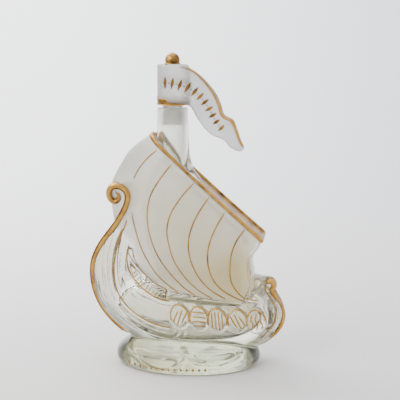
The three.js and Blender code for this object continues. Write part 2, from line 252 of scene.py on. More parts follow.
class Plane2:
    """fields kept on a fine XZ grid and read back smoothly at any point."""

    def __init__(self, x0, x1, z0, z1, h):
        self.x0, self.z0, self.h = x0, z0, h
        self.nx, self.nz = int(round((x1 - x0) / h)) + 1, int(round((z1 - z0) / h)) + 1
        self.X, self.Z = np.meshgrid(x0 + h * np.arange(self.nx), z0 + h * np.arange(self.nz), indexing='ij')
        self.P = np.stack([self.X.ravel(), self.Z.ravel()], 1)
        self.f = {}

    def put(self, name, values):
        self.f[name] = np.asarray(values, float).reshape(self.nx, self.nz)

    def at(self, x, z):
        u = np.clip((x - self.x0) / self.h, 1, self.nx - 3.001)
        v = np.clip((z - self.z0) / self.h, 1, self.nz - 3.001)
        i, j = u.astype(int), v.astype(int)
        a, b = u - i, v - j

        def w(t):
            return (-0.5 * t + t * t - 0.5 * t ** 3, 1 - 2.5 * t * t + 1.5 * t ** 3, 0.5 * t + 2 * t * t - 1.5 * t ** 3, -0.5 * t * t + 0.5 * t ** 3)
        wa, wb = w(a), w(b)
        out = {}
        for name, F in self.f.items():
            s = 0
            for p in range(4):
                for q in range(4):
                    s = s + wa[p] * wb[q] * F[i + p - 1, j + q - 1]
            out[name] = s
        return out


def surface_nets(V, origin, h):
    """closed quad mesh of the zero level of a sampled field, negative inside."""
    S = V < 0
    nx, ny, nz = V.shape
    cnt = np.zeros((nx - 1, ny - 1, nz - 1), np.int8)
    for dx in (0, 1):
        for dy in (0, 1):
            for dz in (0, 1):
                cnt += S[dx:nx - 1 + dx, dy:ny - 1 + dy, dz:nz - 1 + dz]
    act = (cnt > 0) & (cnt < 8)
    I = np.argwhere(act)
    idx = -np.ones(act.shape, np.int64)
    idx[act] = np.arange(len(I))
    c = {}
    for dx in (0, 1):
        for dy in (0, 1):
            for dz in (0, 1):
                c[dx, dy, dz] = V[I[:, 0] + dx, I[:, 1] + dy, I[:, 2] + dz]
    acc = np.zeros((len(I), 3))
    num = np.zeros(len(I))
    for a in c:
        for ax in range(3):
            if a[ax] == 0:
                b = list(a)
                b[ax] = 1
                va, vb = c[a], c[tuple(b)]
                m = (va < 0) != (vb < 0)
                t = np.where(m, va / np.where(m, va - vb, 1), 0)
                p = np.tile(np.array(a, float), (len(I), 1))
                p[:, ax] += t
                acc[m] += p[m]
                num[m] += 1
    P = np.array(origin) + h * (I + acc / num[:, None])
    quads = []
    for ax in range(3):
        o1, o2 = [k for k in range(3) if k != ax]
        lo = [slice(1, -1)] * 3
        lo[ax] = slice(0, V.shape[ax] - 1)
        hi = list(lo)
        hi[ax] = slice(1, V.shape[ax])
        A, B = S[tuple(lo)], S[tuple(hi)]
        e = np.argwhere(A != B)
        up = A[tuple(e.T)]
        base = e.copy()
        base[:, o1] += 1
        base[:, o2] += 1
        q = []
        for s1, s2 in ((-1, -1), (0, -1), (0, 0), (-1, 0)):
            k = base.copy()
            k[:, o1] += s1
            k[:, o2] += s2
            q.append(idx[k[:, 0], k[:, 1], k[:, 2]])
        q = np.stack(q, 1)
        flip = up if ax != 1 else ~up
        q[~flip] = q[~flip][:, ::-1]
        quads.append(q)
    Q = np.vstack(quads)
    return P, Q


def mesh_object(name, P, faces, mats, body, face_mat=None, smooth_faces=True):
    me = bpy.data.meshes.new(name)
    P = np.asarray(P, float) * MM
    faces = np.asarray(faces)
    me.vertices.add(len(P))
    me.vertices.foreach_set("co", P.astype(np.float32).ravel())
    k = faces.shape[1]
    me.loops.add(faces.size)
    me.loops.foreach_set("vertex_index", faces.astype(np.int32).ravel())
    me.polygons.add(len(faces))
    me.polygons.foreach_set("loop_start", np.arange(0, faces.size, k, dtype=np.int32))
    me.polygons.foreach_set("use_smooth", np.full(len(faces), smooth_faces))
    for m in mats:
        me.materials.append(m)
    if face_mat is not None:
        me.polygons.foreach_set("material_index", face_mat.astype(np.int32))
    me.update(calc_edges=True)
    me.validate()
    ob = bpy.data.objects.new(name, me)
    scene.collection.objects.link(ob)
    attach(ob, body)
    return ob


def implicit(name, func, lo, hi, h, steps=3, symmetric=False, planar=None, pl=None):
    """vertices and quads of func(x, y, z) = 0, the vertices brought onto the surface."""
    xs = np.arange(lo[0], hi[0] + h, h)
    zs = np.arange(lo[2], hi[2] + h, h)
    if symmetric:
        ny = int(math.ceil(hi[1] / h)) + 1
        ys = h * (np.arange(ny) + 0.5)
    else:
        ys = np.arange(lo[1], hi[1] + h, h)
    X, Y, Z = np.meshgrid(xs, ys, zs, indexing='ij')
    V = np.empty(X.shape)
    for i in range(0, len(xs), 12):
        sl = slice(i, min(i + 12, len(xs)))
        if planar is not None:                           # the side-view fields are the same for every y
            A = X[sl][:, 0, :]
            f = pl.at(A.ravel(), Z[sl][:, 0, :].ravel())
            f = {k: np.broadcast_to(v.reshape(A.shape)[:, None, :], X[sl].shape).ravel() for k, v in f.items()}
            V[sl] = planar(f, X[sl].ravel(), Y[sl].ravel(), Z[sl].ravel()).reshape(X[sl].shape)
        else:
            V[sl] = func(X[sl].ravel(), Y[sl].ravel(), Z[sl].ravel()).reshape(X[sl].shape)
    oy = ys[0]
    if symmetric:
        V = np.concatenate([V[:, ::-1], V], axis=1)
        oy = -ys[-1]
    P, Q = surface_nets(V, (xs[0], oy, zs[0]), h)
    e = 0.05
    for _ in range(steps):
        x, y, z = P.T
        f = func(x, y, z)
        g = np.stack([func(x + e, y, z) - func(x - e, y, z), func(x, y + e, z) - func(x, y - e, z), func(x, y, z + e) - func(x, y, z - e)], 1) / (2 * e)
        n2 = np.maximum((g * g).sum(1), 0.05)
        step = -(f / n2)[:, None] * g
        ln = np.linalg.norm(step, axis=1)
        step *= np.minimum(1, 0.45 * h / np.maximum(ln, 1e-9))[:, None]
        P = P + step
    return P, Q


def relax(P, Q, rounds, func, project=True):
    """evens out the quads along the surface."""
    n = len(P)
    for _ in range(rounds):
        acc = np.zeros((n, 3))
        num = np.zeros(n)
        for a in range(4):
            i, j = Q[:, a], Q[:, (a + 1) % 4]
            for k in range(3):
                acc[:, k] += np.bincount(i, P[j, k], n) + np.bincount(j, P[i, k], n)
            num += np.bincount(i, minlength=n) + np.bincount(j, minlength=n)
        P = P + 0.5 * (acc / num[:, None] - P)
        if project:
            e = 0.05
            x, y, z = P.T
            f = func(x, y, z)
            g = np.stack([func(x + e, y, z) - f, func(x, y + e, z) - f, func(x, y, z + e) - f], 1) / e
            n2 = np.maximum((g * g).sum(1), 0.05)
            P = P - np.clip(f / n2, -0.4, 0.4)[:, None] * g
    return P


# ---------------------------------------------------------------- simple solids: lathes and swept bars
def plain_object(name, verts, faces, mats, body, slot=None, face_mat=None, split=None):
    me = bpy.data.meshes.new(name)
    me.from_pydata([(float(a) * MM, float(b) * MM, float(c) * MM) for a, b, c in verts], [], [tuple(int(i) for i in f) for f in faces])
    for m in mats:
        me.materials.append(m)
    me.polygons.foreach_set("use_smooth", [True] * len(me.polygons))
    if face_mat is not None:
        me.polygons.foreach_set("material_index", [int(v) for v in face_mat])
    me.update(calc_edges=True)
    me.validate()
    if split is not None:
        me.set_sharp_from_angle(angle=math.radians(split))
    ob = bpy.data.objects.new(name, me)
    scene.collection.objects.link(ob)
    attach(ob, body)
    return ob


def lathe(profile, n, cx=NECK_X, cy=0.0, closed=False, wobble=None):
    """profile of (r, z); closed joins the last ring to the first, otherwise each end is capped."""
    verts, faces = [], []
    k = len(profile)
    for (r, z) in profile:
        for i in range(n):
            a = 2 * math.pi * i / n
            rr = max(r, 0.02)
            if wobble:
                rr += wobble(a, z, r)
            verts.append((cx + rr * math.cos(a), cy + rr * math.sin(a), z))
    for j in range(k if closed else k - 1):
        b, t = j * n, ((j + 1) % k) * n
        for i in range(n):
            i2 = (i + 1) % n
            faces.append((b + i, b + i2, t + i2, t + i))
    if not closed:
        faces.append(tuple(range(n))[::-1])
        faces.append(tuple((k - 1) * n + i for i in range(n)))
    return verts, faces


def sweep(points, a, b, side, sides=16, power=2.0):
    """bar along points; a is the half size across the path in its own plane, b the half size along side (one vector, or one per point)."""
    P = np.asarray(points, float)
    n = len(P)
    T = np.gradient(P, axis=0)
    T /= np.linalg.norm(T, axis=1)[:, None] + 1e-12
    S = np.broadcast_to(np.asarray(side, float), P.shape).copy()
    S -= (S * T).sum(1)[:, None] * T
    S /= np.linalg.norm(S, axis=1)[:, None] + 1e-12
    Nn = np.cross(S, T)
    a = np.broadcast_to(np.asarray(a, float), (n,))
    b = np.broadcast_to(np.asarray(b, float), (n,))
    th = 2 * math.pi * np.arange(sides) / sides
    c, s = np.cos(th), np.sin(th)
    c = np.sign(c) * np.abs(c) ** (2 / power)
    s = np.sign(s) * np.abs(s) ** (2 / power)
    V = P[:, None, :] + (a[:, None] * c)[:, :, None] * Nn[:, None, :] + (b[:, None] * s)[:, :, None] * S[:, None, :]
    verts = V.reshape(-1, 3)
    faces = []
    for j in range(n - 1):
        for i in range(sides):
            i2 = (i + 1) % sides
            faces.append((j * sides + i, j * sides + i2, (j + 1) * sides + i2, (j + 1) * sides + i))
    faces.append(tuple(range(sides))[::-1])
    faces.append(tuple((n - 1) * sides + i for i in range(sides)))
    return verts, faces


def taper(n, lead=5, tail=5):
    """1 along the middle, rounding to almost nothing at both ends."""
    i = np.arange(n)
    t = np.minimum(np.minimum((i + 0.35) / lead, 1.0), np.minimum((n - 1 - i + 0.35) / tail, 1.0))
    return np.sqrt(1 - (1 - t) ** 2)


def join(parts):
    verts, faces, off = [], [], 0
    for v, f in parts:
        verts.append(np.asarray(v, float))
        faces += [tuple(i + off for i in q) for q in f]
        off += len(v)
    return np.vstack(verts), faces


# ---------------------------------------------------------------- the bottle's shape
YA, YB = np.array([-33.5, 214.6]), np.array([70.0, 120.5])
YE = (YB - YA) / np.linalg.norm(YB - YA)
YN = np.array([YE[1], -YE[0]])          # points down and forward, away from the yard face
YLEN = float(np.linalg.norm(YB - YA))
LUFF = catmull([(-33.5, 214.6), (-44.1, 207.4), (-54.6, 197.8), (-60.4, 188.7), (-66.1, 179.3), (-69.9, 171), (-71.9, 159.5), (-71.2, 148.5), (-70.3, 141.3), (-68.4, 132), (-65, 119), (-60, 104), (-53, 88), (-43, 72), (-30, 58)], 60)
LEECH = catmull([(70, 120.5), (66.6, 112.5), (62.8, 107.8), (60.4, 102.7), (60.4, 95.1), (61.6, 87.9), (61.5, 78), (58, 66), (52, 56), (44, 50)], 36)
SAIL_POLY = np.vstack([LUFF, LEECH[::-1]])
CAV_POLY = catmull([(-22, 196), (-30, 184), (-36.5, 168), (-39.5, 150), (-39, 132), (-36.5, 114), (-32, 97), (-27, 82), (-24, 66), (-18, 54), (10, 46), (40, 48), (50, 60), (52.5, 78), (51.5, 95), (54, 108), (57, 117), (54, 126), (40, 139), (16, 161), (-2, 178), (-14, 192), (-22, 196)], 90)[:-1]
HULL = [(13, -40, 56, 20, 4), (18, -48, 67, 24, 4), (23.5, -54, 78, 27, 4), (30, -62.5, 82.5, 29.8, 4), (38, -72, 87, 32.8, 4), (47, -80, 90.2, 35, 4), (56, -85.5, 90.2, 35.5, 4), (63, -88.2, 87.5, 33.8, 3), (68, -89.2, 84, 32, 2), (73.6, -90.2, 81.5, 29.5, 0), (80.5, -90.8, 80.5, 25.7, -3), (88.4, -90.6, 80, 21.3, -4), (99.3, -88.4, 80, 15.8, -4), (107.5, -84, 80, 12, -4), (114, -79, 80, 9, -4), (121, -73, 80, 6, -4), (128, -67.5, 80, 4.5, -4)]
HULLCAV_POLY = catmull([(-30, 76), (-46, 76), (-58, 68), (-62, 58), (-56, 47), (-44, 38), (-26, 31), (-6, 28), (20, 28), (44, 31), (60, 38), (68, 48), (66, 56), (54, 62), (10, 70), (-30, 76)], 80)[:-1]
SHIELDS = [(-2.6, 53.2), (15.0, 51.7), (31.2, 50.2), (49.2, 48.7), (65.8, 46.8)]
SHIELD_A, SHIELD_B = 9.0, 12.2
GUNWALE = [(-54.6, 107.5), (-55, 99.3), (-51.3, 88.4), (-44, 80.5), (-34.9, 73.6), (-21.8, 68), (-12, 66.6), (0, 65.6), (15, 64), (31, 62.6), (49, 61.3), (64, 61.5), (74, 65.5)]
STRAKE = [(-55.4, 135.5), (-56.8, 130.9), (-61.2, 121.3), (-64.4, 111.8), (-66.7, 99.7), (-67, 88.5), (-64.9, 76.5), (-61, 67.4), (-53.7, 59.3), (-43.1, 51.6), (-30.3, 45.4), (-20.9, 43), (-13.4, 41.9)]
CRESCENT = [(-54, 105.2), (-49.2, 95.7), (-40.4, 85.8), (-27.5, 75.9), (-18.1, 71.7), (-16.3, 66.3)]
LOBE_L = [(-52, 18.5), (-45, 14.6), (-36.9, 10.6), (-32.6, 8), (-25.2, 5.9), (-16.2, 5.5), (-8.3, 7.4), (-1.4, 12.1), (1.7, 17.1), (0.5, 21.5)]
LOBE_R = [(4, 20), (9, 15.5), (15, 13.4), (22.4, 12.9), (31.8, 12.3), (42.2, 13.7), (50, 17.4), (57.7, 20.4)]

plane = Plane2(-104.0, 104.0, -8.0, 246.0, 0.5)
G = plane.P
tq = (G - YA) @ YN                       # distance below the yard line
ts = (G - YA) @ YE
sag = 1.2 * np.sin(math.pi * np.clip(ts / YLEN, 0, 1))
d_poly = sdf2(G, SAIL_POLY)
d_l = seg_dist(G, LUFF)
d_l = np.where(inside(G, SAIL_POLY), d_l, 0.0)
qk = [0, 10, 30, 60, 90, 110, 130, 150]
Wm = np.interp(tq, qk, [17.6, 18.6, 20.4, 21.6, 21.2, 20, 17.5, 14])
Tm = np.interp(tq, [0, 10, 25, 50, 75, 100, 125, 150], [17.5, 24, 38, 60, 70, 55, 40, 30])
Pm = np.interp(tq, [0, 10, 25, 50, 75, 100, 125, 150], [0.5, 0.62, 0.85, 1.1, 1.2, 0.95, 0.75, 0.6])
ws = Wm * np.clip(1 - (1 - np.clip(d_l / Tm, 0, 1)) ** 2, 0, 1) ** Pm + 1.4
d_yard = sag - tq
PROW = [(-63.6, 157.6), (-63.2, 154.2), (-66, 151.5), (-70, 152.2), (-72.6, 156.6), (-72.2, 161.8), (-69.4, 165.4), (-64.8, 166.4), (-59.4, 164.8), (-55.8, 161.2), (-54.6, 156.2), (-55.8, 149.8), (-58.6, 143.2), (-62.4, 136.2), (-67.2, 129.2), (-73, 121.6), (-79.2, 113.4), (-84.6, 104), (-88.4, 94), (-89.4, 83), (-88.4, 72), (-85.2, 60.6), (-79.8, 49.6), (-72.4, 40), (-63.6, 31.4), (-55, 25)]
d_sc = seg_dist(G, catmull(PROW, 160)[:100])
ws = np.minimum(ws, 4.6 + 0.85 * np.maximum(d_sc - 2.6, 0) ** 1.05)
rz = np.array([r[0] for r in HULL], float)


def row(k, z):
    v = np.array([r[k] for r in HULL], float)
    return np.interp(z, rz, v)


hb, hs, hw, hm = (blur(row(k, plane.Z[0])[None], 3.0)[0] for k in (1, 2, 3, 4))
X2, Z2 = plane.X, plane.Z
t = np.where(X2 < hm[None], (hm[None] - X2) / (hm - hb)[None], (X2 - hm[None]) / (hs - hm)[None])
wh = 2.4 + (hw[None] - 2.4) * np.clip(1 - np.clip(t, 0, 1) ** 2.1, 0, 1) ** 0.8
over = np.where(X2 < hm[None], hb[None] - X2, X2 - hs[None])
over = np.maximum(over, np.maximum(12.5 - Z2, Z2 - np.where(X2 > 40, 84.0, 126.0)))
STERN = [(72.6, 77.6), (75.2, 80.0), (78.8, 79.2), (80.0, 75.6), (78.2, 72.0), (80.0, 67.8), (84.4, 61.6), (87.2, 56), (89.0, 50), (89.2, 44.6), (87.0, 37.6), (83, 31.6), (77.4, 26), (71.4, 21.6), (64, 18.4)]
d_sp = seg_dist(G, catmull(STERN, 120)[:56]).reshape(X2.shape)
wh = np.where((X2 > 50) & (Z2 > 40), np.minimum(wh, 4.0 + 0.9 * np.maximum(d_sp - 1.5, 0) + 2.2 * np.maximum(64 - Z2, 0)), wh)
wh_plain = blur(wh, 2.0)
# the gunwale's bead, the shields and the strake stand out of the hull
g_line = catmull(GUNWALE, 60)
above = sdf2(G, np.vstack([[(-59, 150), (-57.6, 128), (-56.0, 116)], g_line[:-6], [(60, 66), (61.5, 74), (61.5, 100), (61.5, 150)]])).reshape(X2.shape)
wh_plain = wh_plain + (np.minimum(wh_plain, 7.0) - wh_plain) * smooth(0.8, 6.5, blur(-above, 1.0))
wh = wh_plain.copy()
d_g = seg_dist(G, g_line).reshape(X2.shape)
fade_g = smooth(-58, -50, X2)
wh = wh_plain + 1.1 * np.exp(-(d_g / 1.7) ** 2) * fade_g
for (cx, cz) in SHIELDS:
    sl = math.radians(-4.6)
    u = (X2 - cx) * math.cos(sl) - (Z2 - cz) * math.sin(sl)
    v = (X2 - cx) * math.sin(sl) + (Z2 - cz) * math.cos(sl)
    re = np.sqrt((u / SHIELD_A) ** 2 + (v / SHIELD_B) ** 2)
    wh = wh + 2.3 * smooth(1.05, 0.9, re) + 0.5 * np.exp(-((re - 0.88) / 0.07) ** 2) + 0.7 * np.clip(1 - (re / 0.75) ** 2, 0, 1)
d_st = seg_dist(G, catmull(STRAKE, 60)).reshape(X2.shape)
wh = wh + 0.9 * np.exp(-(d_st / 1.5) ** 2)
below = (sdf2(G, np.vstack([catmull(STRAKE, 60), [(0, 41.2), (20, 39.5), (45, 37.5), (66, 36.5), (92, 50), (92, 0), (-110, 0), (-110, 135)]])) < 0).reshape(X2.shape)
wh = wh + 0.45 * np.cos(2 * math.pi * d_st / 5.2) * smooth(2.0, 4.0, d_st) * smooth(24, 15, d_st) * below * smooth(-84, -74, X2)
wh = wh + 0.35 * np.cos(2 * math.pi * d_st / 6.4) * smooth(2.5, 5.0, d_st) * smooth(20, 12, d_st) * (~below) * smooth(-30, -40, X2) * smooth(-74, -66, X2)
for name, arr in (("ws", blur(ws.reshape(X2.shape), 1.6)), ("wc", blur(ws.reshape(X2.shape), 4.0)), ("dp", blur(d_poly.reshape(X2.shape), 1.2)), ("dy", d_yard), ("wh", blur(wh, 0.8)), ("wp", wh_plain), ("ho", blur(over, 2.0)),
                  ("cp", blur(sdf2(G, CAV_POLY).reshape(X2.shape), 3.0)), ("hc", blur(sdf2(G, HULLCAV_POLY).reshape(X2.shape), 3.0)),
                  ("lb", np.clip(1 - ((X2 + 17) / 21) ** 2 - ((Z2 - 15.5) / 8.5) ** 2, 0, 1) + np.clip(1 - ((X2 - 35) / 23) ** 2 - ((Z2 - 19) / 6.0) ** 2, 0, 1)),
                  ("ll", seg_dist(G, catmull(LOBE_L, 40)).reshape(X2.shape)), ("lr", seg_dist(G, catmull(LOBE_R, 30)).reshape(X2.shape))):
    plane.put(name, arr)
for name in ("ws", "wh", "wp"):
    gx, gz = np.gradient(plane.f[name], plane.h)
    plane.put("n" + name, blur(1 / np.sqrt(1 + np.minimum(gx * gx + gz * gz, 9.0)), 1.5))

FOOT = [(-1, .915), (0, .915), (.8, .94), (1.6, .965), (5, .995), (9.5, 1.0), (14.6, .975), (19.4, .9), (23.2, .79), (27, .6), (30, .4), (33, .2)]
NECK = [(150, 26.5), (170, 26.5), (173, 25.8), (176.5, 23.2), (180, 20.6), (184, 18.6), (190, 16.7), (198, 15.3), (208, 14.6), (218, 14.3), (227.4, 14.15), (228.3, 13.65), (229.2, 14.0), (231, 14.1), (236, 14.0), (238.0, 13.6), (240, 13.2)]
fz = np.linspace(-2, 40, 421)
fkk = blur(np.interp(fz, [p[0] for p in FOOT], [p[1] for p in FOOT])[None], 7.0)[0]
nz_ = np.linspace(140, 245, 1051)
nrr = blur(np.interp(nz_, [p[0] for p in NECK], [p[1] for p in NECK])[None], 5.0)[0]


def outer(f, x, y, z):
    ay = np.abs(y)
    sail = smax(smax((ay - f["ws"]) * f["nws"], f["dp"], 3.0), f["dy"], 1.4)
    hull = smax((ay - f["wh"]) * f["nwh"], f["ho"], 5.0)
    g = np.sqrt(((x - 0.3) / 67.6) ** 2 + (y / 46.4) ** 2)
    lobes = 1.7 * np.exp(-(f["ll"] / 2.4) ** 2) + 1.6 * np.exp(-(f["lr"] / 2.2) ** 2) + 2.4 * f["lb"]
    foot = (g - np.interp(z, fz, fkk)) * 50.0 - lobes * smooth(0.35, 0.55, g) * smooth(20, 32, ay)
    foot = smax(smax(foot, -z, 1.2), z - 31.0, 2.0)
    rec = np.sqrt(((x - 0.3) / 45.0) ** 2 + (y / 29.0) ** 2)
    foot = smax(foot, -np.maximum((rec - 1) * 32.0, z - 2.0), 0.8)
    rho = np.sqrt((x - NECK_X) ** 2 + y * y)
    neck = smax(rho - np.interp(z, nz_, nrr), z - 238.7, 1.3)
    neck = smax(smax(neck, 168.0 - z, 4.0), ay - 16.6, 2.0)
    neck = smax(neck, x - 15.0, 4.0)
    body = smin(sail, hull, 3.2)
    body = smin(body, foot, 4.0)
    return smin(body, neck, 3.0)


def cavity(f, x, y, z):
    ay = np.abs(y)
    a = smax(smax(ay - (f["wc"] - 5.2), f["cp"], 5.0), f["dy"] + 6.0, 4.0)
    b = smax(smax(ay - (f["wp"] - 6.5), f["hc"], 7.0), 26.5 - z, 4.0)
    rho = np.sqrt((x - NECK_X) ** 2 + y * y)
    c = smax(rho - 9.3, 166.0 - z, 3.0)
    return smin(smin(a, b, 6.0), c, 4.0)


def glass_at(f, x, y, z):
    return np.maximum(outer(f, x, y, z), -cavity(f, x, y, z))


def glass(x, y, z):
    return glass_at(plane.at(x, z), x, y, z)


def outside(x, y, z):
    return outer(plane.at(x, z), x, y, z)


def on_surface(xz, side=-1, lift=0.0, fn=outside, y0=48.0):
    """the outermost point of the bottle at each (x, z) on one side, with its outward normal."""
    xz = np.asarray(xz, float)
    x, z = xz[:, 0], xz[:, 1]
    ys = np.linspace(y0, 0, 97)
    F = np.stack([fn(x, np.full_like(x, side * v), z) for v in ys])
    hit = np.argmax(F < 0, axis=0)
    none = ~(F < 0).any(axis=0)
    hi = ys[np.maximum(hit - 1, 0)]
    lo = ys[hit]
    for _ in range(12):
        m = (hi + lo) / 2
        neg = fn(x, side * m, z) < 0
        lo = np.where(neg, m, lo)
        hi = np.where(neg, hi, m)
    y = np.where(none, 1.0, (hi + lo) / 2) * side
    e = 0.15
    g = np.stack([fn(x + e, y, z) - fn(x - e, y, z), fn(x, y + e, z) - fn(x, y - e, z), fn(x, y, z + e) - fn(x, y, z - e)], 1)
    g /= np.linalg.norm(g, axis=1)[:, None] + 1e-9
    P = np.stack([x, y, z], 1) + lift * g
    return P, g


H = 1.25
P, Q = implicit("bottle", glass, (-96, 0, -3), (96, 50, 242), H, 2, symmetric=True, planar=glass_at, pl=plane)
P = relax(P, Q, 2, glass)
v0, v1, v2, v3 = (P[Q[:, i]] for i in range(4))
vol = (np.einsum('ij,ij->i', v0, np.cross(v1, v2)) + np.einsum('ij,ij->i', v0, np.cross(v2, v3))).sum() / 6
if vol < 0:
    Q = Q[:, ::-1]
print("bottle", len(P), "points", len(Q), "quads", "volume cm3", round(abs(vol) / 1000, 1))
fP = plane.at(P[:, 0], P[:, 2])
x, y, z = P.T
inner = cavity(fP, x, y, z)
is_in = smooth(1.4, 0.4, np.abs(inner)) * (outer(fP, x, y, z) < -0.8)
s_val = smax(smax((np.abs(y) - fP["ws"]) * fP["nws"], fP["dp"], 3.0), fP["dy"], 1.4)
h_val = smax((np.abs(y) - fP["wh"]) * fP["nwh"], fP["ho"], 5.0)
FR_EDGE = catmull([(-60, 150), (-57, 132), (-54, 112), (-50, 98), (-42, 86), (-30, 76), (-16, 69.5), (0, 67), (13.6, 65.2), (35, 63), (55.8, 61.6), (68.9, 64.5), (74, 70)], 70)
frost = smooth(1.0, 0.0, s_val) * smooth(-0.5, 1.5, h_val)
frost *= smooth(0.0, 2.0, -fP["dy"] + 1.0)
leech_d = seg_dist(P[:, [0, 2]], LEECH)
leech_d = np.where(x > 30, leech_d, 50)
frost *= smooth(3.0, 6.0, leech_d)
ll_d = seg_dist(P[:, [0, 2]], LUFF)
frost *= 0.72 + 0.28 * smooth(10, 30, ll_d)
rho_ = np.sqrt((P[:, 0] - NECK_X) ** 2 + P[:, 1] ** 2)
frost = np.maximum(frost, 0.1 * smooth(170, 182, P[:, 2]) * (rho_ > 11) * (s_val > 0.5))
frost *= 1 - is_in
frost = np.maximum(frost, 0.12 * is_in * smooth(12.5, 10.5, rho_) * smooth(166, 178, P[:, 2]))
frost = np.maximum(frost, 0.5 * is_in * smooth(12.0, 10.0, rho_) * smooth(220, 224, P[:, 2]) * smooth(239, 237, P[:, 2]))
frost = np.maximum(frost, 0.07 * (1 - is_in))
frost = np.maximum(frost, 0.2 * (1 - is_in) * smooth(44, 60, np.abs(P[:, 0])) * smooth(34, 24, P[:, 2]))
frost = np.maximum(frost, 0.26 * (1 - is_in) * smooth(56, 62, P[:, 0]) * smooth(52, 60, P[:, 2]))
frost = np.clip(frost, 0, 1)


# ---------------------------------------------------------------- materials
def noise(nt, scale, detail=4.0, rough=0.55, coords=None, stretch=None):
    n = add_node(nt, "ShaderNodeTexNoise")
    n.inputs["Scale"].default_value = scale
    n.inputs["Detail"].default_value = detail
    n.inputs["Roughness"].default_value = rough
    if coords is not None:
        if stretch is not None:
            mp = add_node(nt, "ShaderNodeMapping")
            mp.inputs["Scale"].default_value = stretch
            nt.links.new(coords, mp.inputs["Vector"])
            nt.links.new(mp.outputs["Vector"], n.inputs["Vector"])
        else:
            nt.links.new(coords, n.inputs["Vector"])
    return n


def ramp(nt, src, stops):
    r = add_node(nt, "ShaderNodeValToRGB")
    els = r.color_ramp.elements
    while len(els) < len(stops):
        els.new(0.5)
    for e, (p, c) in zip(els, stops):
        e.position = p
        e.color = c if len(c) == 4 else (*c, 1)
    nt.links.new(src, r.inputs["Fac"])
    return r


def bump(nt, height, bsdf, strength, dist):
    b = add_node(nt, "ShaderNodeBump")
    b.inputs["Strength"].default_value = strength
    b.inputs["Distance"].default_value = dist
    nt.links.new(height, b.inputs["Height"])
    nt.links.new(b.outputs["Normal"], bsdf.inputs["Normal"])
    return b


def glass_material(name, frost_rgb, through=0.52):
    """clear and frosted glass in one: the frost attribute is 1 where the surface is etched."""
    m = bpy.data.materials.new(name)
    nt, N, L, b = nodes_of(m)
    tc = add_node(nt, "ShaderNodeTexCoord")
    at = add_node(nt, "ShaderNodeAttribute", attribute_name="frost")
    mott = noise(nt, 55, 5, 0.6, tc.outputs["Object"])
    frost_col = ramp(nt, mott.outputs["Fac"], [(0.25, frost_rgb[0]), (0.55, frost_rgb[1]), (0.8, frost_rgb[2])])
    clear_col = ramp(nt, mott.outputs["Fac"], [(0.2, (0.885, 0.89, 0.84)), (0.8, (0.945, 0.948, 0.91))])
    mx = add_node(nt, "ShaderNodeMix", data_type='RGBA')
    L.new(at.outputs["Fac"], mx.inputs[0])
    L.new(clear_col.outputs["Color"], mx.inputs[6])
    L.new(frost_col.outputs["Color"], mx.inputs[7])
    # a warm olive tint multiplied in by attribute: partly the frosting's own warm tone, partly painted shade that
    # darkens the sail's middle and lower part and the foot
    wt = add_node(nt, "ShaderNodeAttribute", attribute_name="warm_tint_and_shade")
    mw = add_node(nt, "ShaderNodeMix", data_type='RGBA', blend_type='MULTIPLY')
    L.new(wt.outputs["Fac"], mw.inputs[0])
    L.new(mx.outputs[2], mw.inputs[6])
    mw.inputs[7].default_value = (0.79, 0.70, 0.44, 1)
    # a darker green multiplied in by attribute, mottled by noise: partly the thick glass's own green tint, partly
    # painted shade darkening the foot and the hull's bottom
    dt = add_node(nt, "ShaderNodeAttribute", attribute_name="green_tint_and_shade")
    md = add_node(nt, "ShaderNodeMix", data_type='RGBA', blend_type='MULTIPLY')
    dn = add_node(nt, "ShaderNodeMath", operation='MULTIPLY')
    blot = noise(nt, 34, 3, 0.55, tc.outputs["Object"])
    dr = add_node(nt, "ShaderNodeMapRange")
    dr.inputs["From Min"].default_value = 0.3
    dr.inputs["From Max"].default_value = 0.7
    dr.inputs["To Min"].default_value = 0.55
    dr.inputs["To Max"].default_value = 1.3
    L.new(blot.outputs["Fac"], dr.inputs["Value"])
    L.new(dt.outputs["Fac"], dn.inputs[0])
    L.new(dr.outputs["Result"], dn.inputs[1])
    L.new(dn.outputs[0], md.inputs[0])
    L.new(mw.outputs[2], md.inputs[6])
    md.inputs[7].default_value = (0.63, 0.69, 0.53, 1)
    L.new(md.outputs[2], b.inputs["Base Color"])
    b.inputs["IOR"].default_value = 1.5
    rr = add_node(nt, "ShaderNodeMapRange")
    rr.inputs["To Min"].default_value = 0.035
    rr.inputs["To Max"].default_value = 0.62
    L.new(at.outputs["Fac"], rr.inputs["Value"])
    L.new(rr.outputs["Result"], b.inputs["Roughness"])
    tr = add_node(nt, "ShaderNodeMapRange")
    tr.inputs["To Min"].default_value = 1.0
    tr.inputs["To Max"].default_value = through
    L.new(at.outputs["Fac"], tr.inputs["Value"])
    L.new(tr.outputs["Result"], b.inputs["Transmission Weight"])
    fine = noise(nt, 420, 3, 0.6, tc.outputs["Object"])
    wave = noise(nt, 16, 2, 0.5, tc.outputs["Object"])
    ad = add_node(nt, "ShaderNodeMath", operation='MULTIPLY_ADD')
    ad.inputs[1].default_value = 0.25
    L.new(fine.outputs["Fac"], ad.inputs[0])
    L.new(wave.outputs["Fac"], ad.inputs[2])
    bump(nt, ad.outputs[0], b, 0.35, 0.0006)
    return m


